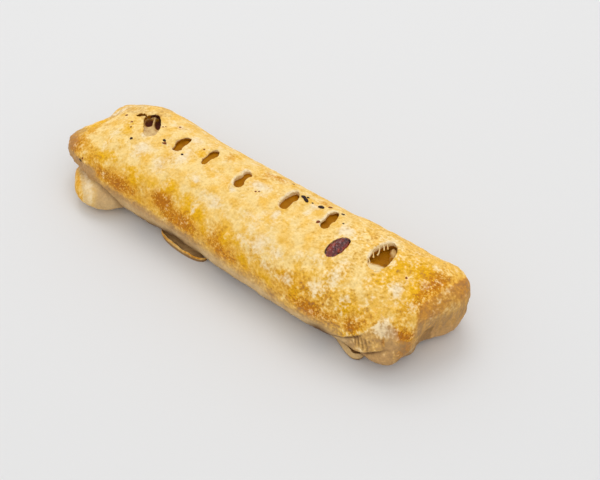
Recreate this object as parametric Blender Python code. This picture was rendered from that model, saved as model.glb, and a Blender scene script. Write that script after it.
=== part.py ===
"""A baked stromboli: a dough roll about 300 mm long with vents cut across its crest and its ends tucked under.

Three pieces: the dough, the filling that runs through it under the vents, and the filling that has boiled up
and scorched in one vent. Metres, +Z up, +X along the roll, origin on the table under the middle of the whole.
"""

import math

import bmesh
import bpy
import numpy as np

# ---------------------------------------------------------------- driving dimensions, in metres and degrees

HALF_LENGTH = 0.150
END_SQUARENESS = 6.0  # superellipse power of the roll's plan at its ends: 2 is round, 6 is blunt
SECTION_SQUARENESS = 2.3  # superellipse power of its cross-section
ROLL_TO_FOOTPRINT = (0.00245, 0.00534)  # brings the middle of the footprint to the origin

# Where the edges of the roll run, as (x, value) knots that a smooth curve follows.
FRONT_EDGE = (
    (-0.150, -0.038), (-0.105, -0.041), (-0.060, -0.039), (0.0, -0.041), (0.035, -0.0425),
    (0.063, -0.0450), (0.090, -0.0420), (0.150, -0.040),
)
BACK_EDGE = (
    (-0.150, 0.038), (-0.125, 0.043), (-0.060, 0.037), (0.0, 0.037), (0.060, 0.038), (0.125, 0.042), (0.150, 0.040)
)
CREST = (
    (-0.150, 0.0445), (-0.125, 0.0508), (-0.090, 0.0515), (0.0, 0.052), (0.060, 0.054), (0.100, 0.053), (0.150, 0.050)
)
WIDEST = ((-0.150, 0.026), (-0.110, 0.020), (0.0, 0.019), (0.110, 0.020), (0.150, 0.022))
BELLY_LEVEL, BELLY_LIFT = -0.002, ((-0.150, 0.018), (-0.135, 0.012), (-0.115, 0.003), (-0.100, 0.0), (0.150, 0.0))
BELLY_LIFT_FROM, BELLY_LIFT_FULL = 0.022, -0.008  # the lift belongs to the front half of the far end
KNOT_SOFTENING = 0.010

# How far each end stands out, as (y, shift along x) knots, and where along the roll the shift starts.
NEAR_END_SHIFT = (
    (-0.045, -0.018), (-0.030, -0.015), (-0.015, -0.011), (-0.003, -0.008), (0.008, -0.002), (0.022, 0.002), (0.045, 0.0)
)
NEAR_FOOT_SHIFT = ((-0.018, 0.0), (-0.010, -0.005), (-0.004, -0.006), (0.006, -0.0035), (0.014, -0.0005), (0.020, 0.0))
FOOT_TOP, FOOT_START, FOOT_FULL = 0.034, 0.100, 0.130
FAR_END_SHIFT = ((-0.045, -0.0085), (-0.030, -0.0075), (-0.005, -0.0042), (0.012, -0.0005), (0.025, 0.005), (0.045, 0.014))
NEAR_SHIFT_START, FAR_SHIFT_START = 0.050, -0.070
SHIFT_SOFTENING = 0.005

SAG_DEPTH, SAG_START, SAG_Y, SAG_REACH = 0.008, -0.112, -0.008, 0.026  # the far end's top sinks

# Soft pushes of the surface: where, how far, and their reach.
PUSHES = (
    ((0.126, -0.034, 0.009), (0.005, -0.008, -0.001), 0.014),
    ((0.135, 0.034, 0.038), (0.003, 0.002, 0.002), 0.010),
    ((-0.147, 0.004, 0.0375), (0.004, 0.0, -0.003), 0.007),
)

CRUST = 0.0024
CAVITY_ENDS = (-0.124, 0.118)
CAVITY_HALF_WIDTH = 0.029
CAVITY_FLOOR, CAVITY_WIDEST = 0.008, 0.024
CAVITY_SQUARENESS = 4.0
FILLING_GAP = 0.0003
FILLING_TOP = 0.045
FILLING_LUMP = 0.0012

# Vents: x and y of the middle, length across the roll, width along it, turn from square across, bend of the slit,
# level of its bottom. The second is a shallow crack that runs off the first.
VENTS = (
    (-0.1020, 0.0057, 0.0240, 0.0128, 43.0, 0.0, 0.0425),
    (-0.1140, 0.0092, 0.0110, 0.0036, -58.0, 0.0, 0.0455),
    (-0.0731, 0.0035, 0.0174, 0.0058, 3.0, 0.0004, 0.0425),
    (-0.0480, 0.0062, 0.0180, 0.0052, 0.0, -0.0014, 0.0425),
    (-0.0166, 0.0022, 0.0180, 0.0058, 6.0, -0.0008, 0.0425),
    (0.0196, 0.0067, 0.0200, 0.0062, 2.0, 0.0, 0.0425),
    (0.0512, 0.0093, 0.0206, 0.0058, 7.0, 0.0, 0.0425),
    (0.0955, 0.0045, 0.0310, 0.0120, 3.0, 0.0, 0.0425),
)
VENT_TOP = 0.060
VENT_SIDES = 24
VENT_SQUARENESS = 2.6

# The scorched filling that fills one more vent and stands proud of it.
SCORCH_AT = (0.0699, -0.0078)
SCORCH_SIZE = (0.0092, 0.0172, 0.0098)
SCORCH_TURN = -5.0
SCORCH_SQUARENESS = 3.6
SCORCH_LUMP = 0.0008
SCORCH_GAP = 0.0004

# Folds of dough that stick out from under the roll: middle, half sizes, turn.
TUCKS = (
    ((-0.1177, -0.0251, 0.0103), (0.0264, 0.0259, 0.0112), -6.0),
    ((0.0978, -0.0329, 0.0044), (0.0139, 0.0049, 0.0090), -18.0),
)
TUCK_SQUARENESS = 2.2

# The seam's lip, a thin curl of dough on the front side: a thin profile that follows half of a rounded oblong.
LIP_MIDDLE, LIP_HALF, LIP_TURN, LIP_SQUARENESS = (-0.0418, -0.0320), (0.0208, 0.0072), -4.0, 2.5
LIP_PROFILE = (  # out from the oblong, and height
    (-0.0120, -0.0010), (0.0, -0.0010), (0.0008, 0.0014), (0.0006, 0.0040), (0.0, 0.0046),
    (-0.0007, 0.0040), (-0.0010, 0.0020), (-0.0024, 0.0012), (-0.0120, 0.0012),
)
LIP_STATIONS = 21

UNEVENNESS, UNEVEN_LENGTH, UNEVEN_TURNS = 0.012, 0.013, 3.0  # slow lumps of the dough, as a share of the section

ROLL_STATIONS, ROLL_RING = 70, 44
FILLING_STATIONS, FILLING_RING = 44, 22


# ---------------------------------------------------------------- shapes as formulas


def along(x, knots, softening=KNOT_SOFTENING):
    """A curve through the knots, rounded by a running average of that width."""
    spots, values = np.array(knots).T
    fine = np.linspace(spots[0], spots[-1], 601)
    reach = max(1, round(softening / (fine[1] - fine[0])))
    weights = np.exp(-0.5 * (np.arange(-3 * reach, 3 * reach + 1) / reach) ** 2)
    padded = np.pad(np.interp(fine, spots, values), 3 * reach, mode="edge")
    return np.interp(x, fine, np.convolve(padded, weights / weights.sum(), "valid"))


def ramp(start, end, x):
    """0 before start and 1 after end, with a smooth step between."""
    t = np.clip((x - start) / (end - start), 0.0, 1.0)
    return t * t * (3.0 - 2.0 * t)


def power(base, exponent):
    """A signed power, which squares off a sine or cosine."""
    return np.sign(base) * np.abs(base) ** exponent


def evenly(first, second, count, closed):
    """Two coordinates of a finely drawn line, read again at equal steps along it."""
    run = np.concatenate([[0.0], np.cumsum(np.hypot(np.diff(first), np.diff(second)))])
    steps = np.linspace(0.0, run[-1], count, endpoint=not closed)
    return np.interp(steps, run, first), np.interp(steps, run, second)


def plan_stations(half_length, half_width, squareness, count):
    """Stations along X and the share of the full section at each: a superellipse that closes at both ends."""
    t = np.sin(np.linspace(-0.5, 0.5, 20001) * math.pi)
    share = (1.0 - np.abs(t) ** squareness) ** (1.0 / squareness)
    x, width = evenly(t * half_length, share * half_width, count, closed=False)
    return x, width / half_width


def section_ring(half_width, half_height, squareness, count):
    """A superellipse of unit size, with its points evenly spaced when drawn at the given half sizes."""
    t = np.linspace(0.0, 2.0 * math.pi, 20001)
    y = power(np.cos(t), 2.0 / squareness) * half_width
    z = power(np.sin(t), 2.0 / squareness) * half_height
    y, z = evenly(y, z, count, closed=True)
    return y / half_width, z / half_height


def roll_grid():
    """The roll's outer surface: rows are stations along X, columns run round the section."""
    x, share = plan_stations(HALF_LENGTH, 0.038, END_SQUARENESS, ROLL_STATIONS)
    ring_y, ring_z = section_ring(0.040, 0.026, SECTION_SQUARENESS, ROLL_RING)
    front, back = along(x, FRONT_EDGE)[:, None], along(x, BACK_EDGE)[:, None]
    crest, widest, lift = along(x, CREST)[:, None], along(x, WIDEST)[:, None], along(x, BELLY_LIFT)[:, None]
    around = UNEVEN_TURNS * np.arctan2(ring_z, ring_y)
    share = share[:, None] * (1.0 + UNEVENNESS * np.sin(x[:, None] / UNEVEN_LENGTH + around) * np.cos(around - 1.0))
    y = (front + back) / 2 + share * (back - front) / 2 * ring_y
    belly = BELLY_LEVEL + lift * ramp(BELLY_LIFT_FROM, BELLY_LIFT_FULL, y)
    rise = np.where(ring_z > 0, crest - widest, widest - belly + 0.003)
    z = np.maximum(widest + share * rise * ring_z, belly)
    x = x[:, None] + 0 * y
    x = x + along(y, NEAR_END_SHIFT, SHIFT_SOFTENING) * ramp(NEAR_SHIFT_START, HALF_LENGTH, x)
    x = x + along(y, FAR_END_SHIFT, SHIFT_SOFTENING) * ramp(FAR_SHIFT_START, -HALF_LENGTH, x)
    high = np.clip((z - widest) / (crest - widest), 0.0, 1.0)
    z = z - SAG_DEPTH * ramp(SAG_START, -HALF_LENGTH, x) * np.exp(-(((y - SAG_Y) / SAG_REACH) ** 2)) * high
    low = ramp(FOOT_TOP, 0.25 * FOOT_TOP, z) * ramp(FOOT_START, FOOT_FULL, x)
    x = x + along(y, NEAR_FOOT_SHIFT, SHIFT_SOFTENING / 2) * low
    points = np.stack([x, y, z], -1)
    for middle, push, reach in PUSHES:
        away = ((points - np.array(middle)) ** 2).sum(-1, keepdims=True)
        points = points + np.array(push) * np.exp(-away / (2 * reach**2))
    return points


def core_grid(inset, top):
    """The hollow in the dough, or with an inset the filling in it. Top gives the height of its crest from x."""
    start, end = CAVITY_ENDS
    half = (end - start) / 2 - inset
    width = CAVITY_HALF_WIDTH - inset
    x, share = plan_stations(half, width, CAVITY_SQUARENESS, FILLING_STATIONS)
    ring_y, ring_z = section_ring(width, 0.020, SECTION_SQUARENESS, FILLING_RING)
    x = (x + (start + end) / 2)[:, None]
    share = share[:, None]
    rise = np.where(ring_z > 0, top(x) - CAVITY_WIDEST, CAVITY_WIDEST - CAVITY_FLOOR - inset)
    return np.stack([x + 0 * ring_y, share * width * ring_y, CAVITY_WIDEST + share * rise * ring_z], -1)


def cavity_top(x):
    """The underside of the crust."""
    return along(x, CREST) - CRUST


def filling_top(x):
    """The filling has settled under the crust, in low waves."""
    return FILLING_TOP + FILLING_LUMP * np.sin(x / 0.0060) * np.sin(x / 0.0171 + 1.0)


# ---------------------------------------------------------------- Blender objects


def material(name, colour, roughness):
    made = bpy.data.materials.new(name)
    made.use_nodes = True
    shader = made.node_tree.nodes["Principled BSDF"]
    shader.inputs["Base Color"].default_value = (*colour, 1.0)
    shader.inputs["Roughness"].default_value = roughness
    shader.inputs["Metallic"].default_value = 0.0
    return made


def add(name, mesh, collection, finish=None):
    """An object at the footprint's middle, shaded smooth, in that collection."""
    thing = bpy.data.objects.new(name, mesh)
    thing.location = (*ROLL_TO_FOOTPRINT, 0.0)
    collection.objects.link(thing)
    mesh.shade_smooth()
    mesh.set_sharp_from_angle(angle=math.radians(40.0))
    if finish:
        mesh.materials.append(finish)
    return thing


def loft(name, grid):
    """A closed mesh over a grid of points whose first and last rows have shrunk to the ends of the form."""
    rows, columns = grid.shape[:2]
    body = grid[1:-1].reshape(-1, 3)
    poles = [grid[0].mean(0), grid[-1].mean(0)]
    first, last = len(body), len(body) + 1
    index = np.arange(len(body)).reshape(rows - 2, columns)
    here, after = index[:-1], index[1:]
    quads = np.stack([here, after, np.roll(after, -1, 1), np.roll(here, -1, 1)], -1).reshape(-1, 4)
    turned = np.roll(index, -1, 1)
    near_cap = np.stack([np.full(columns, first), index[0], turned[0]], -1)
    far_cap = np.stack([np.full(columns, last), turned[-1], index[-1]], -1)
    mesh = bpy.data.meshes.new(name)
    mesh.from_pydata(np.vstack([body, poles]).tolist(), [], [*near_cap.tolist(), *far_cap.tolist(), *quads.tolist()])
    tidy = bmesh.new()
    tidy.from_mesh(mesh)
    bmesh.ops.recalc_face_normals(tidy, faces=tidy.faces)
    tidy.to_mesh(mesh)
    tidy.free()
    return mesh


def reshape(mesh, move):
    """Sends a mesh's vertices, as one array, through a formula."""
    flat = np.empty(len(mesh.vertices) * 3, np.float32)
    mesh.vertices.foreach_get("co", flat)
    mesh.vertices.foreach_set("co", move(flat.reshape(-1, 3).astype(float)).astype(np.float32).ravel())
    mesh.update()
    return mesh


def turned(points, degrees, x, y):
    """Points turned about Z and then moved in plan."""
    c, s = math.cos(math.radians(degrees)), math.sin(math.radians(degrees))
    return np.stack(
        [points[:, 0] * c - points[:, 1] * s + x, points[:, 0] * s + points[:, 1] * c + y, points[:, 2]], -1
    )


def ball(name, columns, rows):
    """A sphere of radius one."""
    mesh = bpy.data.meshes.new(name)
    made = bmesh.new()
    bmesh.ops.create_uvsphere(made, u_segments=columns, v_segments=rows, radius=1.0)
    made.to_mesh(mesh)
    made.free()
    return mesh


def pillow(mesh, size, squareness, lump=0.0):
    """A unit sphere swollen to a superellipsoid of those half sizes, with lumps on its top."""

    def swell(unit):
        flat = np.hypot(unit[:, 0], unit[:, 1])
        round_xy = unit[:, :2] / np.maximum(flat, 1e-9)[:, None]
        wide = flat ** (2.0 / squareness)
        rise = power(unit[:, 2], 2.0 / squareness)
        waves = np.sin(5.0 * unit[:, 0] + 1.0) * np.sin(8.0 * unit[:, 1]) - 1.0
        shell = np.stack([round_xy[:, 0] * wide, round_xy[:, 1] * wide, rise], -1) * np.array(size)
        shell[:, 2] += lump * waves * ramp(0.1, 0.9, unit[:, 2])
        return shell

    return reshape(mesh, swell)


def dough_body(collection, finish):
    return add("dough", loft("dough", roll_grid()), collection, finish)


def tuck(number, middle, half_size, turn, collection):
    mesh = pillow(ball(f"tuck_{number}", 24, 14), half_size, TUCK_SQUARENESS)
    reshape(mesh, lambda p: turned(p + (0.0, 0.0, middle[2]), turn, *middle[:2]))
    return add(f"tuck_{number}", mesh, collection)


def seam_lip(collection):
    """The lip's profile carried along the front half of a superellipse, sinking into the roll at both ends."""
    t = np.linspace(-math.pi, 0.0, 2001)
    path = evenly(
        power(np.cos(t), 2.0 / LIP_SQUARENESS) * LIP_HALF[0],
        power(np.sin(t), 2.0 / LIP_SQUARENESS) * LIP_HALF[1],
        LIP_STATIONS,
        closed=False,
    )
    path = np.stack(path, -1)
    away = np.gradient(path, axis=0)
    away = np.stack([away[:, 1], -away[:, 0]], -1) / np.hypot(away[:, 0], away[:, 1])[:, None]
    out, height = np.array(LIP_PROFILE).T
    taper = np.sin(np.linspace(0.0, math.pi, LIP_STATIONS))[:, None] ** 0.5
    plan = path[:, None] + away[:, None] * (out * taper)[:, :, None]
    grid = np.concatenate([plan, (0.6 + 0.4 * taper)[:, :, None] * height[:, None]], -1)
    mesh = reshape(loft("seam_lip", grid), lambda p: turned(p, LIP_TURN, *LIP_MIDDLE))
    return add("seam_lip", mesh, collection)


def vent_cutter(number, x, y, length, width, turn, bend, bottom, collection):
    """An upright rounded slot, a little curved in plan."""
    mesh = bpy.data.meshes.new(f"vent_{number}")
    made = bmesh.new()
    bmesh.ops.create_cone(made, cap_ends=True, cap_tris=True, segments=VENT_SIDES, radius1=1.0, radius2=1.0, depth=1.0)
    made.to_mesh(mesh)
    made.free()

    def slot(unit):
        run = power(unit[:, 1], 2.0 / VENT_SQUARENESS) * length / 2
        across = power(unit[:, 0], 2.0 / VENT_SQUARENESS) * width / 2 + bend * np.cos(math.pi / 2 * unit[:, 1])
        height = (bottom + VENT_TOP) / 2 + unit[:, 2] * (VENT_TOP - bottom)
        return turned(np.stack([across, run, height], -1), turn, x, y)

    return add(f"vent_{number}", reshape(mesh, slot), collection)


def scorched(name, grow, lump, collection, finish=None):
    """The plug of boiled-up filling, or with grow the vent that it sits in."""
    size = [side / 2 + grow for side in SCORCH_SIZE[:2]] + [SCORCH_SIZE[2] / 2]
    mesh = pillow(ball(name, 26, 18), size, SCORCH_SQUARENESS, lump)
    foot = FILLING_TOP + FILLING_LUMP + FILLING_GAP
    reshape(mesh, lambda p: turned(p + (0.0, 0.0, foot + size[2]), SCORCH_TURN, *SCORCH_AT))
    return add(name, mesh, collection, finish)


def table_cutter(collection):
    """Everything under the table's level, so that the dough rests on a flat face."""
    mesh = bpy.data.meshes.new("table_level")
    made = bmesh.new()
    bmesh.ops.create_cube(made, size=1.0)
    made.to_mesh(mesh)
    made.free()
    reshape(mesh, lambda p: p * (0.5, 0.3, 0.05) - (0.0, 0.0, 0.025))
    return add("table_level", mesh, collection)


def work(body, tool, operation, solver="EXACT"):
    """Joins the tool to the body or cuts it away, and keeps the tool out of the model."""
    step = body.modifiers.new(tool.name, "BOOLEAN")
    step.operation = operation
    step.object = tool
    step.solver = solver
    tool.hide_render = True
    tool.display_type = "WIRE"


def main():
    for thing in list(bpy.data.objects):
        bpy.data.objects.remove(thing)
    model = bpy.data.collections.new("stromboli")
    tools = bpy.data.collections.new("joined_and_cut")
    bpy.context.scene.collection.children.link(model)
    bpy.context.scene.collection.children.link(tools)

    crust = material("baked_crust", (0.80, 0.50, 0.20), 0.55)
    cheese = material("melted_filling", (0.72, 0.48, 0.20), 0.45)
    scorch = material("scorched_filling", (0.10, 0.02, 0.015), 0.35)

    dough = dough_body(model, crust)
    for number, (middle, half_size, turn) in enumerate(TUCKS, 1):
        work(dough, tuck(number, middle, half_size, turn, tools), "UNION")
    work(dough, seam_lip(tools), "UNION")
    work(dough, table_cutter(tools), "DIFFERENCE")
    work(dough, add("hollow", loft("hollow", core_grid(0.0, cavity_top)), tools), "DIFFERENCE")
    for number, vent in enumerate(VENTS, 1):
        work(dough, vent_cutter(number, *vent, tools), "DIFFERENCE", "MANIFOLD")
    work(dough, scorched("scorched_vent", SCORCH_GAP, 0.0, tools), "DIFFERENCE")

    add("filling", loft("filling", core_grid(FILLING_GAP, filling_top)), model, cheese)
    scorched("scorched_filling", 0.0, SCORCH_LUMP, model, scorch)


main()
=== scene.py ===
"""A baked stromboli: pizza dough rolled round cheese and meat, buttered, and vented along its crest.

Sizes are in millimetres about the middle of the roll, +X along it and +Z up. They become metres when a mesh
is made.
"""

import math

import bpy
import numpy as np
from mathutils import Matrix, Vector


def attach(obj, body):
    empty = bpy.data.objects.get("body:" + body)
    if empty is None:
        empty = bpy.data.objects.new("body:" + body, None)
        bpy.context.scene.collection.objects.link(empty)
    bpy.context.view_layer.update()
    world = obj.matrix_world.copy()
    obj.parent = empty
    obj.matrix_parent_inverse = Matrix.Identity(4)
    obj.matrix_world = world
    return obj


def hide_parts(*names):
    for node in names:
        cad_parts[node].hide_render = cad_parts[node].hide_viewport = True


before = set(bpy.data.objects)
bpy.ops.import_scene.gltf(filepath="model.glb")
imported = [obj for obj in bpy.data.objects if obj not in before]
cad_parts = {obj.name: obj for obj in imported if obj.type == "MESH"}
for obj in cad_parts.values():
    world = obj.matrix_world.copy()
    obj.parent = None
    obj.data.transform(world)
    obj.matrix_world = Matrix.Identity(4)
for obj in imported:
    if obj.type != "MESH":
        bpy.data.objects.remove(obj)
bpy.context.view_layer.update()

# ================================================================ the roll of dough
# A sheet of pizza dough, rolled up round its filling and laid on its seam. It is a long loaf with blunt ends,
# flat underneath, whose far end has sunk a little and whose near end leans out at one corner.

ROLL_MIDDLE = (2.45, 5.34, 0.0)  # from the middle of the whole's footprint
HALF_LENGTH = 150.0
END_SQUARENESS, SECTION_SQUARENESS = 6.0, 2.3
SOFT_KNOTS, SOFT_ENDS, SOFT_FOOT = 10.0, 5.0, 2.5

FRONT_EDGE = (
    (-150, -38), (-105, -41), (-60, -39), (0, -41), (35, -42.5), (63, -45), (90, -42), (150, -40),
)
BACK_EDGE = ((-150, 38), (-125, 43), (-60, 37), (0, 37), (60, 38), (125, 42), (150, 40))
CREST = ((-150, 44.5), (-125, 50.8), (-90, 51.5), (0, 52), (60, 54), (100, 53), (150, 50))
WIDEST = ((-150, 26), (-110, 20), (0, 19), (110, 20), (150, 22))
BELLY_LEVEL = -2.0
BELLY_LIFT = ((-150, 18), (-135, 12), (-115, 3), (-100, 0), (150, 0))
NEAR_END_SHIFT = ((-45, -18), (-30, -15), (-15, -11), (-3, -8), (8, -2), (22, 2), (45, 0))
NEAR_FOOT_SHIFT = ((-18, 0), (-10, -5), (-4, -6), (6, -3.5), (14, -0.5), (20, 0))
FAR_END_SHIFT = ((-45, -8.5), (-30, -7.5), (-5, -4.2), (12, -0.5), (25, 5), (45, 14))
PUSHES = (  # where, how far, and the reach
    ((126, -34, 9), (5, -8, -1), 14.0),
    ((135, 34, 38), (3, 2, 2), 10.0),
    ((-147, 4, 37.5), (4, 0, -3), 7.0),
    ((137, -27, 8), (-2.5, 2, 0), 6.0),
    ((150, 22, 17), (-2.1, -1.6, 0), 8.5),
)
PLAN_HALF_WIDTH = 38.0
SECTION_HALF = (40.0, 26.0)  # about half the roll's width and height
FAR_END_SAG = 8.0
STATIONS, ROUND_IT = 456, 198
FINE_STEPS = 20001  # in a line that is read again at even steps
AXIS_LEVEL = 20.0  # of the line that angles round the roll are measured at
RIDGE = -0.5  # where the roll is highest, across it
TOP_SIDE = 38.0  # the level over which a point is on the roll's top


def along(x, knots, softening=SOFT_KNOTS):
    """A curve through the knots, rounded by a running average of that width."""
    spots, values = np.array(knots, float).T
    fine = np.linspace(spots[0], spots[-1], 601)
    reach = max(1, round(softening / (fine[1] - fine[0])))
    weights = np.exp(-0.5 * (np.arange(-3 * reach, 3 * reach + 1) / reach) ** 2)
    padded = np.pad(np.interp(fine, spots, values), 3 * reach, mode="edge")
    return np.interp(x, fine, np.convolve(padded, weights / weights.sum(), "valid"))


def ramp(start, end, x):
    """0 before start and 1 after end, with a smooth step between."""
    t = np.clip((x - start) / (end - start), 0.0, 1.0)
    return t * t * (3.0 - 2.0 * t)


def bell(away, reach):
    """1 where the distance is nought, falling off softly over the reach."""
    return np.exp(-((away / reach) ** 2))


def power(base, exponent):
    """A signed power, which squares off a sine or cosine."""
    return np.sign(base) * np.abs(base) ** exponent


def evenly(first, second, count, closed, weight=1.0):
    """A finely drawn line's two coordinates, read at equal steps along it, or closer where weight is higher."""
    steps = np.hypot(np.diff(first), np.diff(second)) * weight
    run = np.concatenate([[0.0], np.cumsum(steps)])
    spots = np.linspace(0.0, run[-1], count, endpoint=not closed)
    return np.interp(spots, run, first), np.interp(spots, run, second)


def plan_stations(half_length, half_width, squareness, count, closer=0.0):
    """Stations along X, closer at the +X end if asked, and the full section's share: |x|^p + share^p = 1."""
    t = np.sin(np.linspace(-0.5, 0.5, FINE_STEPS) * math.pi)
    share = (1.0 - np.abs(t) ** squareness) ** (1.0 / squareness)
    weight = 1.0 + closer * ramp(0.45, 0.60, t[1:])
    x, width = evenly(t * half_length, share * half_width, count, False, weight)
    return x, width / half_width


def squared_circle(t, squareness):
    """The two coordinates at angles t of a circle squared off by that power: |first|^p + |second|^p = 1."""
    return power(np.cos(t), 2.0 / squareness), power(np.sin(t), 2.0 / squareness)


def section_ring(half_width, half_height, squareness, count, under=1.0, behind=1.0):
    """A superellipse of unit size with evenly spaced points, or with fewer on its underside or behind it."""
    y, z = squared_circle(np.linspace(0.0, 2.0 * math.pi, FINE_STEPS), squareness)
    y, z = y * half_width, z * half_height
    weight = under + (1.0 - under) * ramp(-0.75 * half_height, -0.45 * half_height, z[1:])
    weight *= 1.0 - (1.0 - behind) * ramp(0.1 * half_width, 0.4 * half_width, y[1:])
    y, z = evenly(y, z, count, True, weight)
    return y / half_width, z / half_height


def roll_form(stations, count):
    """The roll's surface, rows along X, columns round it: a superellipse between edges, crest and belly."""
    x, share = plan_stations(HALF_LENGTH, PLAN_HALF_WIDTH, END_SQUARENESS, stations, closer=0.8)
    ring_y, ring_z = section_ring(*SECTION_HALF, SECTION_SQUARENESS, count, under=0.4, behind=0.65)
    front, back = along(x, FRONT_EDGE)[:, None], along(x, BACK_EDGE)[:, None]
    crest, widest, lift = along(x, CREST)[:, None], along(x, WIDEST)[:, None], along(x, BELLY_LIFT)[:, None]
    around = 3.0 * np.arctan2(ring_z, ring_y)
    share = share[:, None] * (1.0 + 0.012 * np.sin(x[:, None] / 13.0 + around) * np.cos(around - 1.0))
    y = (front + back) / 2 + share * (back - front) / 2 * ring_y
    belly = BELLY_LEVEL + lift * ramp(22.0, -8.0, y)
    rise = np.where(ring_z > 0, crest - widest, widest - belly + 3.0)
    z = np.maximum(widest + share * rise * ring_z, belly)
    x = x[:, None] + 0 * y
    x = x + along(y, NEAR_END_SHIFT, SOFT_ENDS) * ramp(50.0, 150.0, x)
    x = x + along(y, FAR_END_SHIFT, SOFT_ENDS) * ramp(-70.0, -150.0, x)
    high = np.clip((z - widest) / (crest - widest), 0.0, 1.0)
    z = z - FAR_END_SAG * ramp(-112.0, -150.0, x) * bell(y + 8.0, 26.0) * high
    low = ramp(34.0, 8.5, z) * ramp(100.0, 130.0, x)
    x = x + along(y, NEAR_FOOT_SHIFT, SOFT_FOOT) * low
    points = np.stack([x, y, z], -1)
    for middle, push, reach in PUSHES:
        away = ((points - np.array(middle)) ** 2).sum(-1, keepdims=True)
        points = points + np.array(push) * np.exp(-away / (2 * reach**2))
    return points


def outward(grid):
    """Unit normals of a grid of points whose columns run round a form."""
    run = np.gradient(grid, axis=0)
    round_it = np.roll(grid, -1, 1) - np.roll(grid, 1, 1)
    normal = np.cross(run, round_it)
    middle = grid.mean(axis=(1,), keepdims=True)
    sign = np.sign(((grid - middle) * normal).sum())
    return sign * normal / np.maximum(np.linalg.norm(normal, axis=-1, keepdims=True), 1e-9)


def waves(points, length, seed, count=30):
    """Smooth noise, mostly from -1 to 1: a sum of cosines in random directions, wavelengths near length."""
    draw = np.random.default_rng(seed)
    ways = draw.normal(size=(count, 3))
    ways *= (2.0 * math.pi / length * draw.uniform(0.7, 1.4, count) / np.linalg.norm(ways, axis=1))[:, None]
    starts = draw.uniform(0.0, 2.0 * math.pi, count)
    return np.cos(points @ ways.T + starts).sum(-1) * math.sqrt(2.0 / count) / 1.6


def girth(points):
    """The angle round the roll in degrees: 0 at the back, 90 on the crest, 180 at the front."""
    return np.degrees(np.arctan2(points[..., 2] - AXIS_LEVEL, points[..., 1])) % 360.0


def spot(x, angle, middle, at, reach, spread):
    """A soft round spot: 1 at its middle, falling off over its reach along the roll and round it."""
    return np.exp(-(((x - middle) / reach) ** 2) - ((angle - at) / spread) ** 2)


def spots_at(x, angle, table):
    """All the spots of a table together, each at its strength."""
    return sum(strength * spot(x, angle, *place) for *place, strength in table)


def spline(a, b, c, d, share):
    """The stretch from b to c of a Catmull-Rom line, which passes b along a to c, and c along b to d."""
    bend, twist = 2 * a - 5 * b + 4 * c - d, 3 * b - a - 3 * c + d
    return 0.5 * (2 * b + (c - a) * share + bend * share**2 + twist * share**3)


def closed_curve(knots, count):
    """A smooth closed line through the knots."""
    knots = np.array(knots, float)
    t = np.linspace(0, len(knots), count, endpoint=False)
    before = t.astype(int)
    return spline(*(knots[(before + k) % len(knots)] for k in (-1, 0, 1, 2)), (t - before)[:, None])


def open_curve(knots, count):
    """A smooth line through the knots from the first to the last, in any number of dimensions."""
    knots = np.array(knots, float)
    knots = np.vstack([2 * knots[0] - knots[1], knots, 2 * knots[-1] - knots[-2]])
    t = np.linspace(0, len(knots) - 3, count)
    before = np.minimum(t.astype(int), len(knots) - 4)
    return spline(*(knots[before + k] for k in range(4)), (t - before)[:, None])


def from_outline(plan, outline):
    """The distance in plan from each point to a closed outline, below zero inside it."""
    start, end = outline, np.roll(outline, -1, 0)
    edge = end - start
    to_point = plan[:, None] - start
    share = np.clip((to_point * edge).sum(-1) / (edge**2).sum(-1), 0.0, 1.0)
    gap = np.linalg.norm(to_point - share[..., None] * edge, axis=-1).min(-1)
    straddles = (start[:, 1] > plan[:, None, 1]) != (end[:, 1] > plan[:, None, 1])
    rise = np.where(edge[:, 1] == 0, 1e-9, edge[:, 1])
    crossing = start[:, 0] + (plan[:, None, 1] - start[:, 1]) / rise * edge[:, 0]
    inside = (straddles & (plan[:, None, 0] < crossing)).sum(-1) % 2 == 1
    return np.where(inside, -gap, gap)


def flipped_outward(points, faces):
    """The faces, turned over if together they enclose a negative volume."""
    first, second, third, last = (points[[face[corner] for face in faces]] for corner in (0, 1, 2, -1))
    volume = (first * np.cross(second, third)).sum() + (first * np.cross(third, last)).sum()
    return faces if volume > 0 else [face[::-1] for face in faces]


def ring_faces(rows, columns):
    """The numbers of a grid's points, those of their neighbours round it, and the faces between its rows."""
    index = np.arange(rows * columns).reshape(rows, columns)
    beside = np.roll(index, -1, 1)
    faces = np.stack([index[:-1], beside[:-1], beside[1:], index[1:]], -1).reshape(-1, 4)
    return index, beside, faces.tolist()


def closed_grid(grid):
    """Points and faces of a closed form over a grid whose first and last rows shrink to its two ends."""
    rows, columns = grid.shape[:2]
    points = np.vstack([grid[1:-1].reshape(-1, 3), grid[0].mean(0), grid[-1].mean(0)])
    index, beside, quads = ring_faces(rows - 2, columns)
    near = np.stack([np.full(columns, len(points) - 2), beside[0], index[0]], -1)
    far = np.stack([np.full(columns, len(points) - 1), index[-1], beside[-1]], -1)
    return points, flipped_outward(points, near.tolist() + far.tolist() + quads)


def placed(name, data):
    """A new object in the scene: a mesh, a lamp or a camera."""
    made = bpy.data.objects.new(name, data)
    bpy.context.scene.collection.objects.link(made)
    return made


def make_piece(name, shape, *finishes):
    """An object from points in millimetres and faces, shaded smooth."""
    points, faces = shape
    mesh = bpy.data.meshes.new(name)
    mesh.from_pydata(((points + ROLL_MIDDLE) * 0.001).tolist(), [], faces)
    for finish in finishes:
        mesh.materials.append(finish)
    mesh.shade_smooth()
    return placed(name, mesh)


def mesh_points(mesh):
    """A mesh's points in millimetres about the middle of the roll."""
    flat = np.empty(len(mesh.vertices) * 3, np.float32)
    mesh.vertices.foreach_get("co", flat)
    return flat.reshape(-1, 3).astype(float) * 1000.0 - ROLL_MIDDLE


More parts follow.
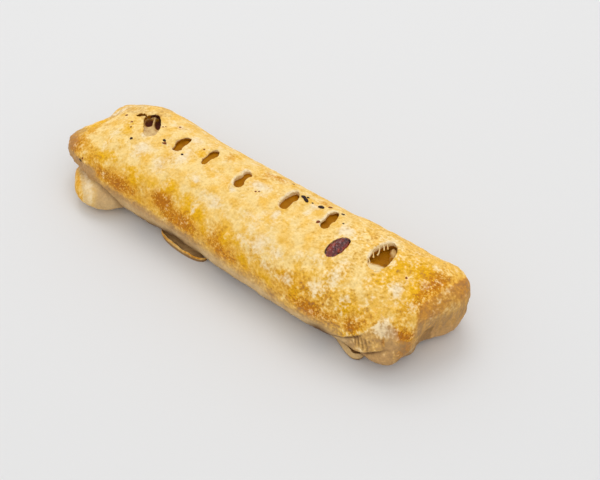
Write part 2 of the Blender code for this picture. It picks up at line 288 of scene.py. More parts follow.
def paint(mesh, **values):
    """Keeps one number per point on the mesh under each name, for its material to read."""
    for name, value in values.items():
        value = np.clip(value + np.zeros(len(mesh.vertices)), 0.0, 1.5).astype(np.float32)
        mesh.attributes.new(name, "FLOAT", "POINT").data.foreach_set("value", value)


def grid_values(values):
    """One number per point of a closed grid, in the order that closed_grid gives its points."""
    return np.concatenate([values[1:-1].ravel(), [values[0].mean(), values[-1].mean()]])


def fit(piece, node):
    """The piece stands for that solid, which is hidden, and stays with the part's one body."""
    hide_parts(node)
    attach(piece, "root")


def crest_level(x, y):
    """The height of the roll's top over a point of its plan."""
    widest, crest = along(x, WIDEST), along(x, CREST)
    share = np.clip(np.abs(y - RIDGE) / SECTION_HALF[0], 0.0, 1.0)
    return widest + (crest - widest) * (1.0 - share**SECTION_SQUARENESS) ** (1.0 / SECTION_SQUARENESS)


# The vents, which the dough has torn open in the oven: each an outline in plan, the height of its raised lip
# on the side towards the far end, and the level of its bottom.
VENTS = {
    "vent_1": ((
        (-111.5, 8.2), (-111.5, 13.6), (-107.4, 17.6), (-102.4, 15.4), (-95.6, 7.6), (-92.4, -0.4),
        (-94.5, -4.0), (-99.0, -5.2), (-105.6, 1.4),
    ), 0.3, 30.0),
    "crack": ((
        (-119.6, 8.6), (-118.2, 11.6), (-114.9, 13.0), (-111.9, 11.4), (-114.4, 10.2), (-117.2, 8.3),
    ), 0.1, 44.0),
    "vent_2": ((
        (-74.1, -4.3), (-74.5, -0.8), (-76.3, 2.4), (-76.3, 5.4), (-74.6, 10.0), (-72.3, 11.8), (-70.0, 11.5),
        (-68.7, 6.8), (-69.1, 2.6), (-68.4, -1.4), (-69.6, -3.8), (-72.1, -4.8),
    ), 0.2, 30.0),
    "vent_3": ((
        (-49.3, -2.4), (-51.0, 1.0), (-50.9, 5.3), (-51.6, 9.2), (-49.9, 13.6), (-47.4, 14.2), (-45.6, 11.6),
        (-44.8, 8.6), (-46.3, 3.8), (-46.1, -0.7), (-47.3, -2.8),
    ), 0.2, 30.0),
    "vent_4": ((
        (-16.2, -6.5), (-13.8, -5.0), (-13.1, -1.5), (-14.7, 1.6), (-15.2, 4.7), (-14.4, 8.6), (-16.0, 10.9),
        (-18.8, 11.0), (-20.4, 8.2), (-19.4, 5.0), (-20.4, 2.0), (-20.7, -1.2), (-18.6, -5.2),
    ), 1.1, 30.0),
    "vent_5": ((
        (19.4, -3.4), (22.6, -1.8), (23.0, 2.6), (23.1, 6.0), (24.0, 9.0), (22.8, 12.8), (20.0, 15.8),
        (17.6, 14.0), (16.9, 9.8), (16.2, 4.6), (17.0, -1.2),
    ), 1.1, 30.0),
    "vent_6": ((
        (51.6, -1.6), (54.0, -0.8), (54.9, 2.0), (54.1, 5.4), (54.8, 9.0), (53.8, 13.4), (52.2, 16.8),
        (49.9, 18.2), (48.0, 14.8), (47.6, 10.5), (48.7, 6.3), (48.3, 2.6), (49.6, -0.2),
    ), 0.5, 30.0),
    "vent_8": ((
        (91.9, -6.8), (90.1, -2.6), (89.5, 2.4), (90.3, 7.7), (92.4, 14.0), (95.3, 17.6), (98.9, 16.0),
        (101.8, 9.8), (102.8, 2.8), (102.4, -2.4), (100.2, -7.0), (95.7, -9.3),
    ), 0.9, 30.0),
}
SCORCHED_VENT = (
    (65.0, -15.6), (68.4, -17.7), (72.8, -16.2), (74.6, -10.7), (74.9, -3.4), (73.2, 0.6), (69.6, 0.8),
    (66.0, -3.0), (64.8, -9.2),
)
RIM = 0.8  # the radius of a vent's edge

# Where the sheet's edges lie on the roll: the edge over the near corner, the fold above the corner's lobe,
# and the edge at the far end. Then an upright crease in the lobe.
CORNER_LAP = (
    (80, -43.5, 12.0), (89.5, -41.6, 14.0), (98, -41.3, 17.3), (104, -41, 21.5), (109, -39.8, 26),
    (113, -37.4, 30),
)
LOBE_LAP = (
    (92, -41, 9.5), (100, -40.6, 10.5), (108.8, -40.3, 12.3), (115.8, -41.4, 15.9), (120.8, -41, 19.1),
    (125.5, -39.2, 22.1), (129, -36.8, 24),
)
FAR_LAP = ((-133.5, -36.0, 27.0), (-128, -37.6, 21.5), (-122, -38.8, 16.5), (-114, -39.5, 11.0))
UPRIGHT_CREASE = ((124.0, -33.8, 33.0), (125.6, -35.6, 29.6), (126.6, -36.9, 26.6), (128.0, -37.6, 23.0))
LAPS = (  # how far each edge stands out, and its reach
    (CORNER_LAP, 0.9, 5.0), (LOBE_LAP, 1.5, 4.5), (FAR_LAP, 1.0, 6.0),
)
CREASES = (  # each crease's line, depth and half width
    (UPRIGHT_CREASE, 1.5, 0.9),
    (((127.6, -29.4, 36.4), (129.8, -31.6, 31.0), (130.6, -34.0, 25.0)), 0.5, 0.9),
    (((117.6, -36.6, 32.6), (119.6, -38.2, 28.6), (121.4, -39.6, 24.2)), 0.6, 0.8),
    (((121.2, -33.8, 34.6), (122.4, -36.0, 30.6), (123.8, -38.2, 26.0)), 0.6, 0.8),
)
DENTS = (  # their middle, depth and radius
    ((-133.2, -36.2, 26.9), 1.9, 1.3), ((125.6, -36.8, 27.4), 1.6, 1.1), ((137.5, -12.0, 41.0), 0.5, 1.6),
    ((-81.0, -2.6, 51.8), 0.9, 1.1),
)
NEAR_END_EDGE = (  # where the end face begins, along Y
    (-27, 138.5), (-19, 137.7), (-15, 136.4), (-9, 134), (-1, 135.3), (7, 138.3), (16, 140.2), (26, 141.9),
)
CORNER_EDGE = (  # how high the golden crust comes down to, along X
    (80, 11), (89.5, 13.5), (98, 17), (104, 21), (109, 25.5), (112.5, 29), (115.1, 34), (121.1, 38.2),
    (127.8, 37.6), (131.3, 33.8), (133.7, 30.2), (136.5, 25.5), (140, 22),
)
PLEAT = 3.2  # the width of one pleat at the corner


def beside_line(points, path):
    """How far each point is from a smooth line, below zero under it, and a fade that is 1 half way along."""
    line = open_curve(path, 60)
    near = np.linalg.norm(points - np.mean(line, 0), axis=-1) < 40.0
    away = points[near][:, None] - line
    gaps = np.linalg.norm(away, axis=-1)
    nearest = gaps.argmin(-1)
    here = np.arange(len(nearest))
    signed, fade = np.full(points.shape[:-1], 99.0), np.zeros(points.shape[:-1])
    signed[near] = np.where(away[here, nearest, 2] > 0, 1.0, -1.0) * gaps[here, nearest]
    fade[near] = np.sin(math.pi * np.clip(nearest / (len(line) - 1), 0.03, 0.97)) ** 0.6
    return signed, fade


def towards_front(y, z):
    """Where a point lies across the roll, on lines that lean a little."""
    return y + 0.2 * (z - 30.0)


def near_end(points):
    """1 on the flat face of the near end, which is wrinkled and unbuttered, and 0 on the rest of the roll."""
    x, y, z = np.moveaxis(points, -1, 0)
    beyond = x - along(y, NEAR_END_EDGE, 2.0)
    return ramp(-1.5, 1.5, beyond) * ramp(46.5, 44.0, z) * ramp(-24.0, -19.0, towards_front(y, z))


def near_corner(points):
    """1 where the sheet is folded and unbuttered at the near corner, and 0 on the rest of the roll."""
    x, y, z = np.moveaxis(points, -1, 0)
    above = z - along(x, CORNER_EDGE, 2.0)
    return ramp(84.0, 90.0, x) * ramp(1.3, -0.7, above) * ramp(-15.0, -20.0, towards_front(y, z))


def corner_gathers(points):
    """Curved pleats, from 0 in their grooves to 1 on their ridges, and 1 where the sheet isn't gathered."""
    x, y, z = np.moveaxis(points, -1, 0)
    drop = z - 20.0
    fan = np.abs(np.sin(math.pi * (x + 0.35 * drop + 0.03 * drop**2) / PLEAT))
    place = np.exp(-(((x - 112.5) / 8.0) ** 4) - ((z - 22.5) / 4.5) ** 4) * ramp(-30.0, -37.0, y)
    return 1.0 - place * (1.0 - fan)


def toasted_band(angle):
    """1 on the shoulder of the front side, where the oven's heat reaches the roll most, and 0 elsewhere."""
    return ramp(136.0, 155.0, angle) * ramp(190.0, 176.0, angle)


def crust_relief(points):
    """How far the crust stands out from the plain roll: lumps, blisters, pleats, wrinkles, laps, dents."""
    x, y, z = np.moveaxis(points, -1, 0)
    end, corner = near_end(points), near_corner(points)
    lumps = 0.50 * waves(points, 26.0, 1) + 0.26 * waves(points, 10.0, 2)
    rough = 0.55 + 0.75 * toasted_band(girth(points)) * (1.0 - end) + 0.25 * ramp(95.0, 130.0, x)
    blisters = np.maximum(waves(points, 5.0, 3), 0.0) * 0.20 + waves(points, 2.9, 4) * 0.10
    blisters = blisters + np.maximum(waves(points, 3.4, 6) - 0.5, 0.0) * 0.30
    wrinkles = 0.34 * waves(points * (0.5, 1.0, 0.15), 3.4, 5)
    wrinkles += 0.25 * waves(points * (0.5, 1.0, 0.10), 6.5, 7)
    relief = lumps + blisters * rough * (1.0 - 0.85 * end) * (1.0 - 0.7 * corner) + wrinkles * end
    relief = relief + 0.8 * (corner_gathers(points) - 1.0)
    for path, height, reach in LAPS:
        signed, fade = beside_line(points, path)
        relief = relief + height * fade * np.tanh(signed / 0.8) * bell(signed, reach)
    for path, depth, half_width in CREASES:
        signed, fade = beside_line(points, path)
        relief = relief - depth * fade * bell(signed, half_width)
    for middle, depth, radius in DENTS:
        relief = relief - depth * np.exp(-((points - np.array(middle)) ** 2).sum(-1) / radius**2)
    return relief * ramp(1.0, 9.0, z)


def beside_vent(points, outline, reach, level=TOP_SIDE):
    """Which points over a level are within reach of a vent, and how far each is from its outline in plan."""
    near = (np.linalg.norm(points[..., :2] - outline.mean(0), axis=-1) < reach) & (points[..., 2] > level)
    return near, from_outline(points[near][:, :2], outline)


def lowered_at_vents(points):
    """How far the crust rises or drops at the vents: a raised lip, then a rounded edge that turns down."""
    change = np.zeros(points.shape[:-1])
    for knots, lip, bottom in VENTS.values():
        outline = closed_curve(knots, 96)
        near, gap = beside_vent(points, outline, 26.0)
        side = ramp(2.5, -2.5, points[near][:, 0] - outline.mean(0)[0])
        inside = np.clip(RIM - gap, 0.0, RIM)
        turned_down = RIM - np.sqrt(RIM**2 - inside**2)
        change[near] += lip * (0.25 + side) * bell(gap - 1.4, 1.9) - turned_down
    return change


plain = roll_form(STATIONS, ROUND_IT)
crust_points = plain + outward(plain) * crust_relief(plain)[..., None]
crust_points[..., 2] += lowered_at_vents(plain)
crust_points[..., 2] = np.maximum(crust_points[..., 2], 0.0)
crust = make_piece("crust", closed_grid(crust_points))

# What is cut from the crust: the hollow that the filling has left as it settled, and the vents down into it.
HOLLOW_ENDS, HOLLOW_HALF_WIDTH, HOLLOW_FLOOR, HOLLOW_WIDEST = (-124.0, 118.0), 29.0, 8.0, 24.0
HOLLOW_SQUARENESS, HOLLOW_HALF_HEIGHT, ROOF_THICKNESS = 4.0, 20.0, 2.4
TEAR_LENGTH, TEAR_DEPTH = 2.4, 0.22  # of the raggedness of a vent's sides


def core_form(inset, top, stations, count):
    """The hollow in the dough, or with an inset the filling in it. Top gives its crest's height from x."""
    start, end = HOLLOW_ENDS
    width = HOLLOW_HALF_WIDTH - inset
    x, share = plan_stations((end - start) / 2 - inset, width, HOLLOW_SQUARENESS, stations)
    ring_y, ring_z = section_ring(width, HOLLOW_HALF_HEIGHT, SECTION_SQUARENESS, count)
    x, share = (x + (start + end) / 2)[:, None], share[:, None]
    rise = np.where(ring_z > 0, top(x) - HOLLOW_WIDEST, HOLLOW_WIDEST - HOLLOW_FLOOR - inset)
    return np.stack([x + 0 * ring_y, share * width * ring_y, HOLLOW_WIDEST + share * rise * ring_z], -1)


def unit(vectors):
    """Each vector over its length."""
    return vectors / np.linalg.norm(vectors, axis=-1, keepdims=True)


def prism(outline, bottom, top, levels, seed):
    """An upright form over a closed outline, its sides a little ragged from level to level."""
    count = len(outline)
    heights = np.linspace(bottom, top, levels)
    rings = np.stack([np.column_stack([outline, np.full(count, height)]) for height in heights])
    ragged = waves(rings, TEAR_LENGTH, seed) * TEAR_DEPTH
    rings[..., :2] += unit(rings[..., :2] - outline.mean(0)) * ragged[..., None]
    index, beside, sides = ring_faces(levels, count)
    points = rings.reshape(-1, 3)
    return points, flipped_outward(points, sides + [index[0, ::-1].tolist(), index[-1].tolist()])


def cut_out(body, tools):
    """Cuts each tool from the body, whose new faces take the tool's finish. The tools are then deleted."""
    for tool in tools:
        step = body.modifiers.new(tool.name, "BOOLEAN")
        step.operation, step.object, step.solver = "DIFFERENCE", tool, "MANIFOLD"
        step.material_mode = "TRANSFER"
    mesh = bpy.data.meshes.new_from_object(body.evaluated_get(bpy.context.evaluated_depsgraph_get()))
    body.modifiers.clear()
    body.data = mesh
    for tool in tools:
        bpy.data.objects.remove(tool)


# ---- shader helpers, used by every finish from here on


class Signal:
    """A shader socket that takes part in sums: each operator adds the Math node it stands for."""

    def __init__(self, finish, socket):
        self.finish, self.socket = finish, socket

    def _sum(self, operation, first, second, clamp=False):
        settings = {"operation": operation, "use_clamp": clamp}
        return self.finish.node("ShaderNodeMath", settings, {0: first, 1: second})

    def __add__(self, other):
        return self._sum("ADD", self, other)

    def __sub__(self, other):
        return self._sum("SUBTRACT", self, other)

    def __rsub__(self, other):
        return self._sum("SUBTRACT", other, self)

    def __mul__(self, other):
        return self._sum("MULTIPLY", self, other)

    __radd__, __rmul__ = __add__, __mul__

    def clamped(self):
        return self._sum("ADD", self, 0.0, clamp=True)

    def spread(self, middle, gain):
        """More or less contrast round a middle, kept between 0 and 1."""
        return ((self - middle) * gain + 0.5).clamped()


class Finish:
    """A material, its shader, and the place on the object. Every node of it comes from its method node."""

    def __init__(self, name, roughness, specular):
        self.material = bpy.data.materials.new(name)
        self.material.use_nodes = True
        self.tree = self.material.node_tree
        self.shader = self.tree.nodes["Principled BSDF"]
        self.shader.inputs["Roughness"].default_value = roughness
        self.shader.inputs["Specular IOR Level"].default_value = specular
        self.place = self.node("ShaderNodeTexCoord", output=3)

    def node(self, kind, settings=None, sockets=None, output=0):
        """Adds a node: its settings first, then values or links for its sockets. Gives one output."""
        made = self.tree.nodes.new(kind)
        for name, value in (settings or {}).items():
            setattr(made, name, value)
        for key, value in (sockets or {}).items():
            if isinstance(value, Signal):
                self.tree.links.new(value.socket, made.inputs[key])
            else:
                made.inputs[key].default_value = value
        return Signal(self, made.outputs[output])

    def mixed(self, factor, first, second, blend="MIX"):
        """One colour over another by a factor."""
        first, second = (c if isinstance(c, Signal) else (*c, 1.0) for c in (first, second))
        settings = {"data_type": "RGBA", "blend_type": blend}
        return self.node("ShaderNodeMix", settings, {0: factor, 6: first, 7: second}, 2)

    def noise(self, size, detail=2.0, place=None):
        """Noise from 0 to 1 whose lumps are about that many millimetres across."""
        sockets = {"Vector": place or self.place, "Scale": 500.0 / size, "Detail": detail}
        return self.node("ShaderNodeTexNoise", {}, sockets)

    def painted(self, name):
        """The number that is painted on the mesh under that name."""
        return self.node("ShaderNodeAttribute", {"attribute_name": name}, {}, 2)

    def feed(self, name, signal):
        self.tree.links.new(signal.socket, self.shader.inputs[name])

    def raise_relief(self, height, distance):
        """Fine relief, its height in millimetres."""
        sockets = {"Height": height, "Distance": distance * 0.001, "Strength": 1.0}
        self.feed("Normal", self.node("ShaderNodeBump", {}, sockets))


# The baked crust: cream where it is pale, golden where butter has pooled, brown where it has caught, floury
# white in places, which is partly painted highlight, tan and wrinkled on the end face, and bare pale dough
# underneath. Its darkest colour is painted shade, for its foot, its creases and its pockets.
CREAM, GOLDEN, BUTTERY = (0.97, 0.69, 0.26), (0.92, 0.54, 0.09), (0.90, 0.48, 0.004)
TOASTED, BROWNED, FLOUR_AND_HIGHLIGHT = (0.72, 0.29, 0.004), (0.52, 0.17, 0.002), (0.95, 0.79, 0.53)
TAN, ASHEN, DULL, DULLER = (0.62, 0.34, 0.095), (0.45, 0.26, 0.105), (0.64, 0.37, 0.135), (0.48, 0.27, 0.105)
BARE, SHADED, SHADE_BROWN = (0.77, 0.54, 0.26), (0.55, 0.34, 0.14), (0.16, 0.075, 0.022)
OILY, OILY_SHADE, BURNT = (0.46, 0.19, 0.004), (0.34, 0.12, 0.003), (0.085, 0.020, 0.010)
CRUMB, CRUMB_SHADE = (0.93, 0.75, 0.42), (0.82, 0.59, 0.26)


def crust_finish(name):
    """Layers of colour, each where the mesh is painted with it, laid in the order of baking, then painted
    shade.
    """
    finish = Finish(name, 0.5, 0.16)
    mixed, painted, noise = finish.mixed, finish.painted, finish.noise
    coarse, middling, fine, grit = noise(5.0, 3.0), noise(2.2), noise(1.0, 1.0), noise(0.6, 1.0)
    squeeze = {0: finish.place, 1: (0.6, 1.0, 0.14)}
    streaks = noise(1.1, 2.0, finish.node("ShaderNodeVectorMath", {"operation": "MULTIPLY"}, squeeze))
    speckle = (middling * 0.45 + fine * 0.55 - 0.5) * painted("grainy")
    drift = coarse - 0.5 + speckle * 2.2
    patches, toast = coarse.spread(0.5, 2.0), painted("toast") + drift
    colour = mixed((painted("golden") + drift).spread(0.62, 1.5), CREAM, GOLDEN)
    colour = mixed((painted("butter") + drift).spread(0.66, 1.5), colour, BUTTERY)
    colour = mixed(toast.spread(0.62, 1.5), colour, TOASTED)
    colour = mixed(toast.spread(1.10, 1.5), colour, BROWNED)
    # Floury white, partly painted highlight.
    colour = mixed((painted("pale") - drift).spread(0.62, 1.5) * 0.8, colour, FLOUR_AND_HIGHLIGHT)
    colour = mixed((painted("dull") + drift * 0.6).spread(0.5, 1.5), colour, mixed(patches, DULL, DULLER))
    wrinkled = mixed(streaks.spread(0.5, 4.0), TAN, ASHEN)
    colour = mixed((painted("tan") + drift * 0.3).spread(0.5, 1.1), colour, wrinkled)
    colour = mixed(painted("bare"), colour, mixed(patches, BARE, SHADED))
    # Painted shade: the foot of the roll, its creases, grooves and pockets.
    colour = mixed(painted("deep").clamped(), colour, SHADE_BROWN)
    # Random specks of light and dark over the colour: painted shading and glints of the crust's fine grain.
    shade = 1.0 - speckle * 0.66 + (grit - 0.5) * 0.32
    grey = finish.node("ShaderNodeCombineColor", {}, {0: shade, 1: shade, 2: shade})
    finish.feed("Base Color", mixed(1.0, colour, grey, "MULTIPLY"))
    finish.feed("Roughness", 0.40 + painted("tan") * 0.3 + middling * 0.15)
    finish.raise_relief(fine * 0.7 + middling * 0.9, 0.75)
    return finish.material


def torn_finish(name):
    """Dough and filling seen in a vent: oily brown, pale crumb where the crust is torn, burnt in pits."""
    finish = Finish(name, 0.5, 0.04)
    grain = finish.noise(1.4)
    ragged = (grain - 0.5) * 0.8
    oily = finish.mixed(finish.noise(4.0).spread(0.5, 2.0), OILY, OILY_SHADE)
    crumb = finish.mixed(grain.spread(0.5, 2.0), CRUMB, CRUMB_SHADE)
    colour = finish.mixed((finish.painted("crumb") + ragged).spread(0.5, 1.8), oily, crumb)
    colour = finish.mixed((finish.painted("burnt") + ragged).spread(0.5, 1.4), colour, BURNT)
    finish.feed("Base Color", colour)
    finish.raise_relief(grain, 0.5)
    return finish.material


baked_crust, torn_dough = crust_finish("baked_crust"), torn_finish("torn_dough")
crust.data.materials.append(baked_crust)
hollow = core_form(0.0, lambda x: along(x, CREST) - ROOF_THICKNESS, 80, 44)
tools = [make_piece("hollow", closed_grid(hollow), torn_dough)]
for number, (name, (knots, lip, bottom)) in enumerate(VENTS.items()):
    tools.append(make_piece(name, prism(closed_curve(knots, 72), bottom, 60.0, 24, 20 + number), torn_dough))
shaft = prism(closed_curve(SCORCHED_VENT, 72), 30.0, 60.0, 2, 40)
tools.append(make_piece("scorched_vent", shaft, torn_dough))
cut_out(crust, tools)

# How the crust took its colour, with its painted shade and highlight: (x, angle round the roll, reach along it,
# spread round it, strength).
TOAST_SPOTS = (
    (-147, 158, 7, 9, 0.75), (-138, 146, 8, 9, 0.5), (-110, 164, 9, 8, 0.9), (-95, 163, 9, 9, 1.0),
    (-82, 162, 6, 8, 0.5), (-57, 154, 8, 9, 1.25), (-48, 167, 9, 8, 0.9), (-34, 164, 8, 8, 0.8),
    (-5, 162, 8, 8, 0.5), (4, 171, 12, 6, 0.5), (62, 168, 8, 7, 0.5), (74, 172, 9, 7, 1.0),
    (88, 168, 8, 7, 0.6), (104, 165, 6, 8, 0.6), (131, 100, 6, 35, 1.0), (134, 72, 6, 22, 1.0),
    (-140, 128, 7, 10, 0.45), (130.5, 154, 4, 4, 0.8), (135, 159, 3.5, 5, 1.2), (102, 168, 3, 5, 0.5),
    (-106, 61, 4, 3, 0.5), (-103, 66, 2, 2, 0.6), (-84, 62, 3, 3, 0.5), (-38, 66, 4, 12, 0.4),
    (-5, 54, 14, 7, 0.8), (36, 55, 9, 8, 0.6), (20, 72, 5, 6, 0.4),
)
BUTTER_SPOTS = (
    (-115, 152, 7, 8, 0.9), (-106, 140, 6, 6, 0.6), (-83, 150, 7, 9, 0.7), (-56, 140, 6, 12, 0.9),
    (-28, 150, 6, 7, 1.0), (-2, 156, 6, 8, 0.9), (17, 162, 5, 7, 0.7), (36, 168, 7, 5, 0.6),
    (62, 164, 6, 8, 0.9), (96, 153, 5, 8, 0.8), (-107, 122, 5, 6, 0.6), (-37, 113, 4, 8, 0.5),
    (-112, 92, 6, 9, 0.7), (128, 100, 6, 30, 1.1), (-145, 125, 7, 30, 1.1), (108, 92, 6, 20, 0.8),
    (118, 72, 12, 14, 0.9), (-55, 84, 5, 8, 0.8), (-2, 55, 16, 9, 0.9), (36, 56, 7, 8, 0.6),
    (32, 108, 7, 5, 0.5), (80, 152, 5, 5, 0.6), (-38, 140, 9, 11, 0.8), (-86, 142, 5, 8, 0.5),
    (-115, 108, 7, 12, 0.6), (-146, 95, 6, 20, 0.7), (-38, 54, 7, 7, 0.6), (-103, 68, 3, 3, 0.8),
    (107, 112, 7, 8, 0.8), (52, 72, 8, 6, 0.4), (128, 80, 9, 20, 0.5),
)
# Pale patches, partly flour and partly painted highlight.
PALE_SPOTS = (
    (-92, 116, 7, 9, 0.9), (-62, 99, 3, 9, 1.0), (-66, 68, 6, 7, 0.7), (-41, 119, 2.5, 4, 1.0),
    (-16, 107, 3, 4, 1.0), (-1, 82, 8, 8, 0.8), (21, 106, 2.5, 8, 1.0), (36, 84, 2.5, 7, 0.9),
    (66, 80, 5, 7, 1.0), (34, 156, 7, 5, 0.9), (52, 156, 6, 5, 1.0), (24, 146, 7, 6, 0.7),
    (118, 112, 4, 12, 0.9), (-20, 130, 7, 7, 0.5), (94, 146, 4, 5, 0.5), (-31, 148, 1.6, 2.5, 1.0),
    (-98, 98, 2.5, 6, 1.0), (38, 141, 9, 6, 0.5), (122, 150, 6, 6, 0.6), (-86, 60, 6, 6, 0.6),
    (-140, 57, 9, 6, 0.8), (8, 125, 8, 8, 0.4), (-70, 112, 7, 24, 0.55), (80, 130, 7, 12, 0.6),
    (-56, 60, 5, 6, 0.5), (36, 70, 5, 4, 0.6), (126, 158, 5, 8, 0.4), (125, 68, 6, 8, 0.2),
    (72, 148, 13, 7, 0.5), (19, 137, 9, 8, 0.5),
)
# Painted shade at the foot of the roll.
FOOT_SHADE_SPOTS = (  # the foot of the roll, where it is darkest
    (-110, 192, 9, 7, 0.40), (-47, 194, 17, 8, 1.05), (-74, 197, 9, 5, 0.75), (5, 199, 15, 5, 0.5),
    (82, 192, 8, 8, 1.25), (107, 195, 7, 6, 0.4),
)


def pale_lips(points):
    """1 on the raised lips of the wider vents, on the side towards the far end, and 0 away from them."""
    lips = np.zeros(len(points))
    for name in ("vent_4", "vent_5", "vent_6", "vent_8"):
        outline = closed_curve(VENTS[name][0], 96)
        near, gap = beside_vent(points, outline, 20.0, 46.0)
        side = ramp(2.0, -2.5, points[near][:, 0] - outline.mean(0)[0])
        lips[near] += bell(gap - 0.3, 0.9) * np.maximum(side, 0.3 * (name == "vent_8"))
    return lips


def crust_look(points):
    """At each point of the crust, how golden, buttered, toasted, pale, dull, tan, bare and so on it is.

    The number called deep is painted shade, and part of pale is painted highlight.
    """
    x, y, z = points.T
    angle = girth(points)
    in_front = angle < 270.0
    slow, quick = waves(points, 30.0, 11), waves(points, 11.0, 12)
    band, end, corner = toasted_band(angle), near_end(points), near_corner(points)
    corner = corner * (1.0 - 0.6 * ramp(112.0, 119.0, x) * ramp(-6.0, 1.0, z - along(x, CORNER_EDGE, 2.0)))
    brink = ramp(-9.0, 0.0, x - along(y, NEAR_END_EDGE, 2.0)) * ramp(0.0, 14.0, y) * (1.0 - end)

    # The near corner: its laps and crease, the lobe under them, a floury patch, a ruddy foot, a golden edge
    # with a painted highlight along it, and painted shade in its grooves.
    lap, lap_fade = beside_line(points, CORNER_LAP)
    fold, fold_fade = beside_line(points, LOBE_LAP)
    upright, upright_fade = beside_line(points, UPRIGHT_CREASE)
    lobe = corner * np.where(fold < 90.0, ramp(0.6, -0.6, fold), 1.0) * ramp(109.0, 113.0, x)
    lobe = np.maximum(lobe, corner * ramp(126.0, 128.5, x + 0.45 * (z - 25.0)))
    whitish = np.sqrt(corner) * bell(x - 122.0, 9.5) * bell(z + 0.25 * (x - 122.0) - 34.5, 5.0)
    ruddy = np.exp(-(((points - (137.0, -28.0, 18.0)) ** 2).sum(-1) / 60.0))
    flap = corner * (1.0 - 0.95 * whitish) * (1.0 - 0.6 * ruddy)
    gilt = lap_fade * bell(lap - 2.0, 1.8)
    # Painted shade in the grooves under the laps, in the upright crease and between the pleats.
    grooves = 0.95 * lap_fade * bell(lap + 1.1, 0.9) + 1.1 * fold_fade * bell(fold + 1.3, 1.2)
    grooves += 0.6 * upright_fade * bell(upright, 0.8) + 0.75 * (1.0 - corner_gathers(points))

    # What lies in the roll's shade or at its far end.
    under = ramp(177.0, 186.0, angle) * ramp(330.0, 300.0, angle) * ramp(112.0, 96.0, x)
    front_foot = (0.9 - 0.35 * ramp(-40.0, -20.0, x)) * ramp(166.0, 180.0, angle)
    front_foot *= in_front * (1.0 - 0.85 * gilt)
    back_foot = 0.8 * ramp(24.0, -4.0, np.where(in_front, angle, angle - 360.0))
    far_foot = ramp(-112.0, -122.0, x) * ramp(160.0, 168.0, angle) * in_front
    far_tip = ramp(-135.0, -150.0, x) * ramp(48.0, 34.0, z) * ramp(115.0, 140.0, angle)
    far_back = 0.3 * ramp(84.0, 66.0, angle) * ramp(-95.0, -110.0, x)

    golden = 0.56 + 0.30 * quick + 0.4 * ramp(62.0, 35.0, angle) + 0.6 * band + 0.30 * ramp(90.0, 112.0, x)
    golden += 0.3 * ramp(-132.0, -142.0, x) - 0.4 * whitish - 0.5 * spot(x, angle, 38, 152, 28, 8)
    butter = spots_at(x, angle, BUTTER_SPOTS) + 0.25 * quick * (0.5 + band) + 0.30 * ramp(115.0, 160.0, angle)
    toast = (spots_at(x, angle, TOAST_SPOTS) + 0.40 * band + 0.12 * slow) * (1.0 - 0.3 * end)
    end_toast = end * (0.8 * ramp(24.0, 38.0, z) + 0.35 * ramp(8.0, 24.0, y))
    toast += end_toast + 0.3 * brink + 0.3 * far_tip + ruddy
    pale = spots_at(x, angle, PALE_SPOTS) + 0.15 - 0.3 * brink + 0.20 * waves(points, 14.0, 13)
    pale = pale * (1.0 - band * np.where(angle > 162.0, 0.8, 0.4)) + 0.75 * pale_lips(points)
    dull_lobe = lobe * np.minimum(1.0 - 0.6 * ruddy, 1.0 - 0.9 * whitish)
    dull_end = end * ramp(24.0, 12.0, z)
    tan_end = end * ramp(6.0, 20.0, z) * (1.0 - 0.6 * ramp(26.0, 42.0, z))
    # Painted shade at the foot of the roll, along its lowest front and where it meets the table.
    deep = spots_at(x, angle, FOOT_SHADE_SPOTS) + 0.45 * ramp(188.0, 199.0, angle) * in_front
    deep += 0.8 * ramp(3.5, 0.5, z)
    grainy = 0.62 + 0.58 * ramp(40.0, 85.0, x) - 0.20 * ramp(112.0, 126.0, x) + 0.12 * ramp(-80.0, -120.0, x)
    below_crest = z - crest_level(x, y)
    burnt = ramp(-95.0, -100.0, x) * ramp(-0.3, -1.0, below_crest) * ramp(5.0, 9.0, y)
    return {
        "golden": golden,
        "butter": butter + 0.8 * gilt,
        "toast": toast,
        # Pale, with a painted highlight in a thin line along the edge of the corner's lap.
        "pale": pale + 0.85 * whitish + 0.4 * lap_fade * bell(lap - 0.8, 0.6),
        "dull": np.maximum.reduce(
            [front_foot, back_foot, far_foot, far_back, 0.5 * far_tip, dull_lobe, 0.7 * flap, dull_end]),
        "tan": np.maximum(tan_end, 0.3 * flap) * (1.0 - 0.8 * lobe),
        "bare": np.maximum(under, 0.3 * whitish),
        # Painted shade: the foot, the grooves and the far tip, and darker in the ruddy patch.
        "deep": deep + grooves + 0.34 * ruddy + 0.12 * far_tip,
        "grainy": grainy + 0.22 * band,
        "crumb": ramp(-1.3, -0.6, below_crest + 1.3 * ramp(-40.0, -25.0, x)),
        "burnt": burnt * (0.85 - 0.6 * ramp(-110.5, -111.5, x)),
    }


paint(crust.data, **crust_look(mesh_points(crust.data)))
crust.data.set_sharp_from_angle(angle=math.radians(50.0))
fit(crust, "dough")

# ================================================================ the tucked end and the small fold
# The sheet's ends are folded under the roll before it is baked. Both folds stick out from under it, pale,
# because they lie in its shade in the oven and no butter reaches them.

TUCK_MIDDLE, TUCK_HALF, TUCK_TURN = (-117.7, -25.1, 10.3), (26.4, 25.9, 11.2), -6.0
LIP_STATIONS, PROFILE_POINTS = 120, 64  # along a curled lip and round it


def turned(x, y, angle):
    """Two coordinates after a turn by that many degrees: x cos - y sin, and x sin + y cos."""
    c, s = math.cos(math.radians(angle)), math.sin(math.radians(angle))
    return x * c - y * s, x * s + y * c


